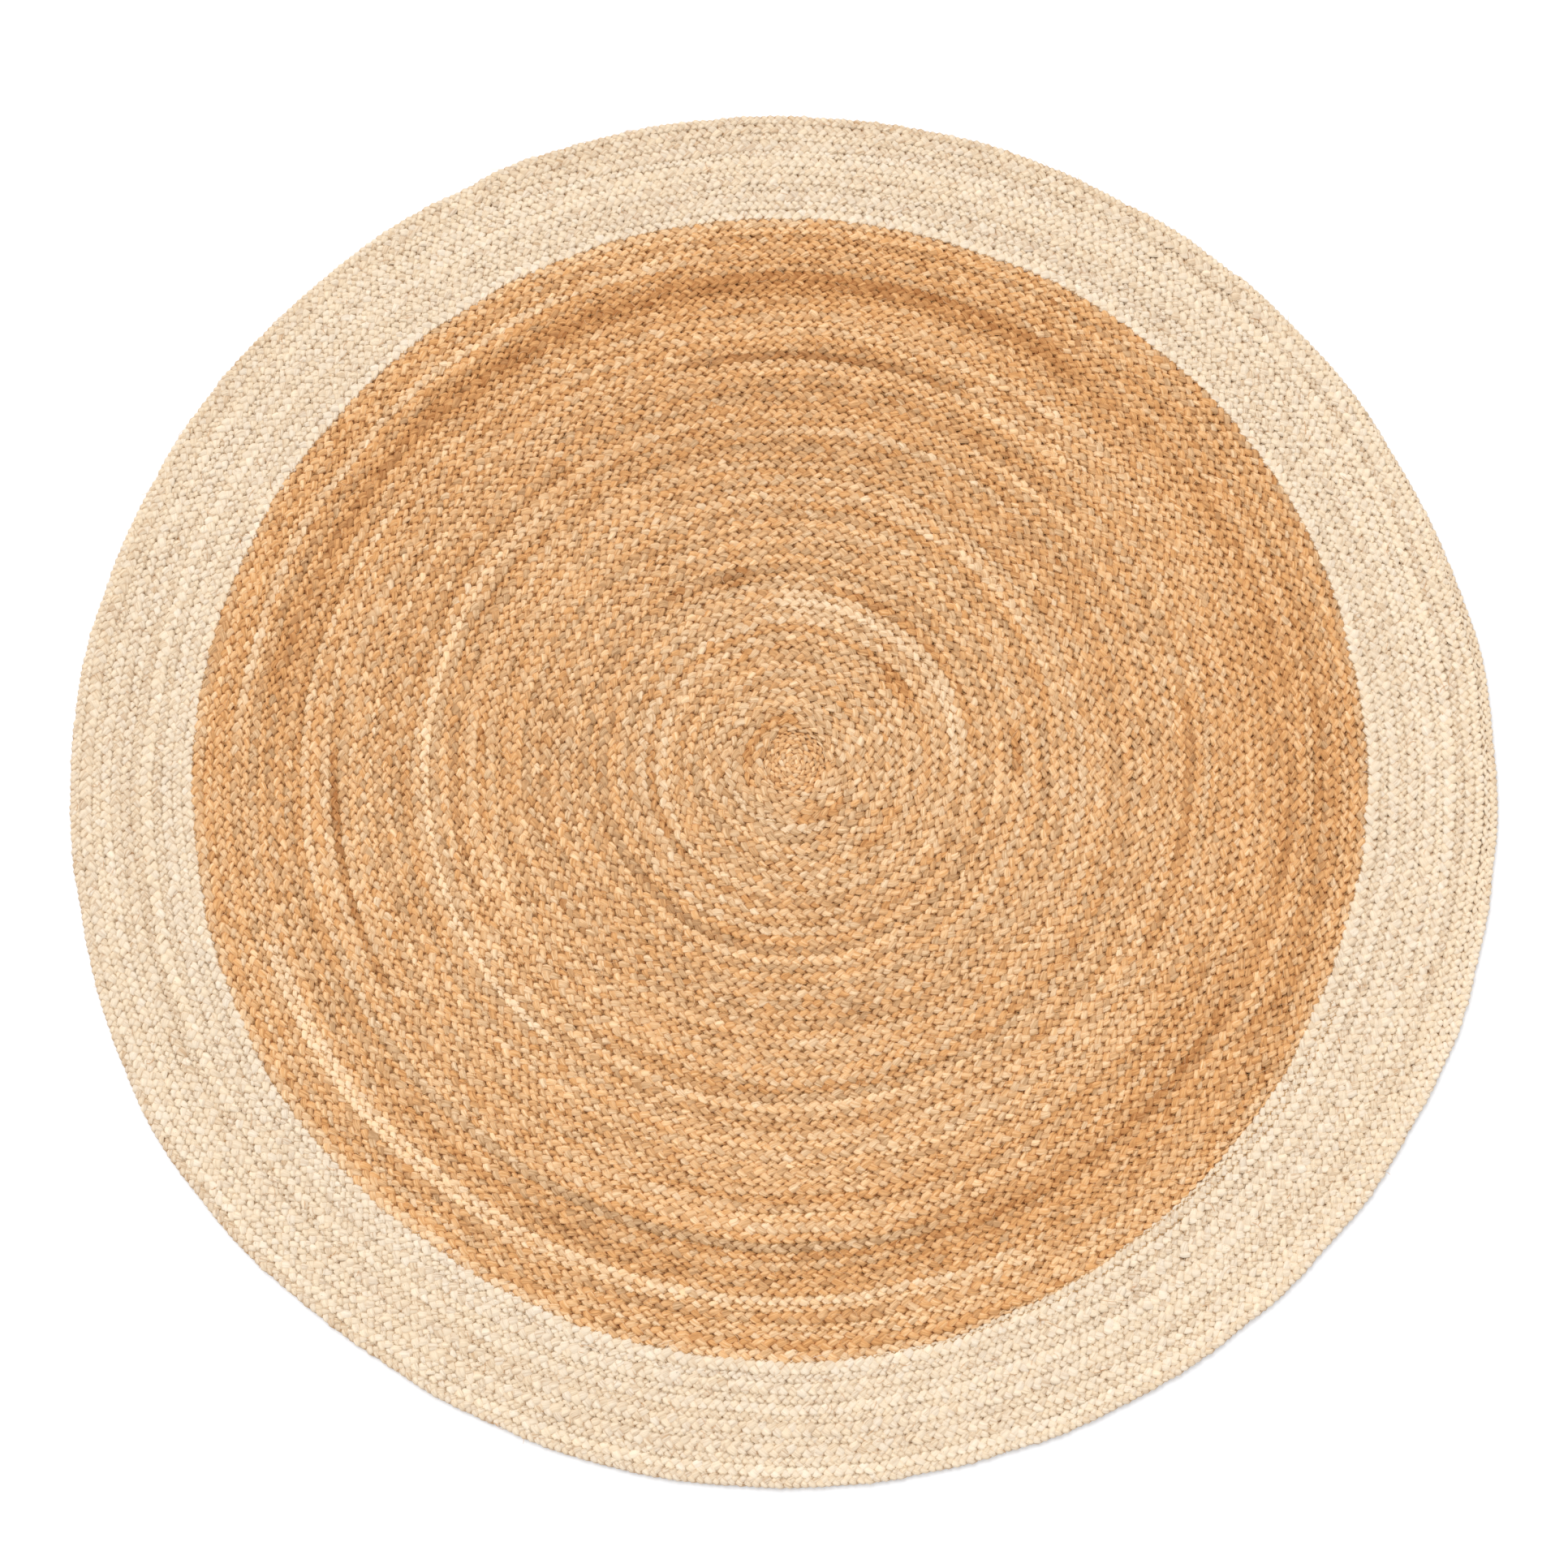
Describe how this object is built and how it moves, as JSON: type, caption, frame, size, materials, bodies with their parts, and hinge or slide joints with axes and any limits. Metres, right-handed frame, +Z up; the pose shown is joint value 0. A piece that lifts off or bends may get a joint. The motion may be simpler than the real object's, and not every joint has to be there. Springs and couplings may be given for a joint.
{
  "type": "area rug",
  "caption": "Round plaited jute rug: two jute plaits wound side by side as a flat spiral, with a tan field and a bleached border.",
  "frame": {"origin": "on the floor under the middle of the rug's bounding box", "axes": "+Z up out of the rug's upper side; both tails at the rim end in the +X +Y quarter"},
  "size_m": [1.503, 1.489, 0.0101],
  "materials": {
    "start_jute": "matt plaited jute",
    "orange_jute": "matt plaited jute",
    "beige_jute": "matt plaited jute",
    "bleached_jute_wide": "matt bleached plaited jute",
    "bleached_jute_narrow": "matt bleached plaited jute",
    "seam_thread": "sewing thread"
  },
  "bodies": {
    "root": {"start_coil": "start_jute", "orange_plait_1": "orange_jute", "orange_plait_2": "orange_jute", "orange_plait_3": "orange_jute", "beige_plait_1": "beige_jute", "beige_plait_2": "beige_jute", "border_wide_plait": "bleached_jute_wide", "border_narrow_plait": "bleached_jute_narrow", "pair_seam_thread": "seam_thread", "turn_seam_thread": "seam_thread", "wide_tail_tack": "seam_thread", "narrow_tail_tack": "seam_thread"}
  },
  "joints": []
}
